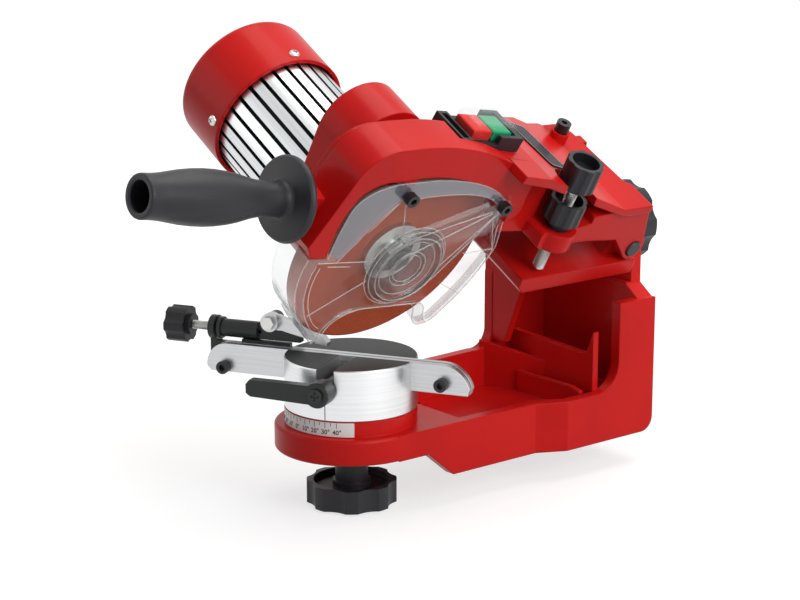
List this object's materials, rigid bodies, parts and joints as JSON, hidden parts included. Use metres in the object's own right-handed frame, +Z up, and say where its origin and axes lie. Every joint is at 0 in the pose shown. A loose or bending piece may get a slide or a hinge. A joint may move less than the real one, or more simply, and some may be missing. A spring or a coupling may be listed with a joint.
{
  "type": "chainsaw sharpener",
  "caption": "Bench saw-chain grinder: cast C-shaped base, turning chain vise with jaw rails, tilting hinged head with side motor, clear wheel guard and front handle.",
  "frame": {"origin": "centre of the four bench bolt holes, on the underside of the foot", "axes": "+Z up from the bench, +Y away from the operator, +X to the operator's right"},
  "size_m": [0.2449, 0.4355, 0.3054],
  "materials": {
    "red_paint": "gloss red enamel on an aluminium casting",
    "scale_label": "printed degree scale",
    "bare_aluminium": "turned",
    "jaw_steel": "ground plate",
    "steel": "zinc plated",
    "black_screw": "black oxide",
    "lever_black": "satin black",
    "black_plastic": "moulded",
    "fan_plastic": "moulded",
    "fin_aluminium": "extruded",
    "iron": "laminations and copper",
    "abrasive": "vitrified abrasive",
    "clear_plastic": "clear moulding",
    "red_plastic": "moulded",
    "green_plastic": "moulded",
    "plate_black": "bare plate"
  },
  "bodies": {
    "base": {"base_casting": "red_paint", "angle_scale": "scale_label"},
    "vise": {"turntable_drum": "bare_aluminium", "turntable_stud": "steel", "front_jaw_rail": "jaw_steel", "rear_jaw_rail": "jaw_steel", "rail_screws": "black_screw", "rail_nuts": "steel", "rail_spacers": "steel", "clamp_bolt": "steel", "stop_bracket": "lever_black"},
    "lever": {"clamp_lever": "lever_black", "lever_screw": "black_screw"},
    "lock": {"lock_knob": "black_plastic", "lock_insert": "steel", "lock_washer": "steel"},
    "stop_drive": {"stop_screw": "steel", "stop_knob": "black_plastic"},
    "carriage": {"stop_carriage": "lever_black", "pawl_pin": "steel"},
    "pawl": {"stop_pawl": "jaw_steel"},
    "cradle": {"tilt_cradle": "red_paint", "tilt_bolt": "steel", "tilt_washer": "steel", "hinge_pin": "black_screw", "return_spring": "steel"},
    "tilt_lock": {"tilt_knob": "black_plastic"},
    "head": {"head_casting": "red_paint", "motor_housing": "fin_aluminium", "motor_end_cap": "red_paint", "cap_screws": "steel", "stator": "iron", "front_bearing": "steel", "rear_bearing": "steel", "wheel_guard": "clear_plastic", "guard_screws": "black_screw", "handle_grip": "black_plastic", "handle_stud": "steel", "switch_frame": "black_plastic", "switch_cover": "clear_plastic", "blank_plate": "plate_black", "boss_screw": "black_screw"},
    "spindle": {"rotor": "iron", "motor_shaft": "steel", "fan": "fan_plastic", "grinding_wheel": "abrasive", "inner_flange": "steel", "outer_flange": "steel", "wheel_nut": "steel"},
    "stop_key": {"stop_button": "red_plastic"},
    "start_key": {"start_button": "green_plastic"},
    "depth_rod": {"depth_screw": "steel"},
    "depth_grip": {"depth_knob": "black_plastic"},
    "depth_lock": {"depth_lock_knob": "black_plastic"}
  },
  "joints": [
    {"name": "vise_turn", "type": "hinge", "parent": "base", "child": "vise", "pos_m": [0, -0.135, 0.06], "axis": [0, 0, 1], "range_deg": [-70, 10]},
    {"name": "lever_turn", "type": "hinge", "parent": "vise", "child": "lever", "pos_m": [0, -0.135, 0.065], "axis": [0.5, -0.866, 0], "range_deg": [0, 75]},
    {"name": "lock_knob_turn", "type": "hinge", "parent": "vise", "child": "lock", "pos_m": [0, -0.135, 0], "axis": [0, 0, -1], "range_deg": [0, 180]},
    {"name": "stop_screw_turn", "type": "hinge", "parent": "vise", "child": "stop_drive", "pos_m": [-0.10619, -0.18707, 0.0855], "axis": [0.866, 0.5, 0], "range_deg": [-1081, 433]},
    {"name": "stop_travel", "type": "slide", "parent": "vise", "child": "carriage", "axis": [0.866, 0.5, 0], "range_m": [-0.0012, 0.003]},
    {"name": "pawl_pivot", "type": "hinge", "parent": "carriage", "child": "pawl", "pos_m": [-0.05336, -0.15657, 0.094], "axis": [0.5, -0.866, 0], "range_deg": [0, 25]},
    {"name": "head_tilt", "type": "hinge", "parent": "base", "child": "cradle", "pos_m": [0.01199, 0.065, 0.13999], "axis": [0, 1, 0], "range_deg": [-30, 0]},
    {"name": "tilt_knob_turn", "type": "hinge", "parent": "cradle", "child": "tilt_lock", "pos_m": [0.01199, 0.095, 0.13999], "axis": [0, 1, 0], "range_deg": [0, 180]},
    {"name": "head_swing", "type": "hinge", "parent": "cradle", "child": "head", "pos_m": [0.02034, 0.0595, 0.15446], "axis": [-0.866, 0, 0.5], "range_deg": [-2.7, 22], "stiffness_Nm_per_rad": 20, "springref_deg": 20.63},
    {"name": "wheel_spin", "type": "hinge", "parent": "head", "child": "spindle", "pos_m": [0.0374, -0.1345, 0.155], "axis": [0.866, 0, -0.5], "continuous": true},
    {"name": "stop_press", "type": "slide", "parent": "head", "child": "stop_key", "axis": [-0.4931, -0.165, -0.8541], "range_m": [0, 0.0025], "stiffness_N_per_m": 400},
    {"name": "start_press", "type": "slide", "parent": "head", "child": "start_key", "axis": [-0.4931, -0.165, -0.8541], "range_m": [0, 0.0025], "stiffness_N_per_m": 400},
    {"name": "depth_travel", "type": "slide", "parent": "head", "child": "depth_rod", "axis": [0.5, 0, 0.866], "range_m": [0, 0.005]},
    {"name": "depth_turn", "type": "hinge", "parent": "depth_rod", "child": "depth_grip", "pos_m": [0.08905, -0.0195, 0.19446], "axis": [0.5, 0, 0.866], "range_deg": [-1, 1441]},
    {"name": "depth_lock_turn", "type": "hinge", "parent": "head", "child": "depth_lock", "pos_m": [0.07405, -0.0195, 0.16848], "axis": [0.5, 0, 0.866], "range_deg": [0, 180]}
  ],
  "couplings": [
    {"joint": "stop_screw_turn", "follows": "stop_travel", "rad_per_m": -6283.2},
    {"joint": "depth_turn", "follows": "depth_travel", "rad_per_m": 5026.5}
  ]
}
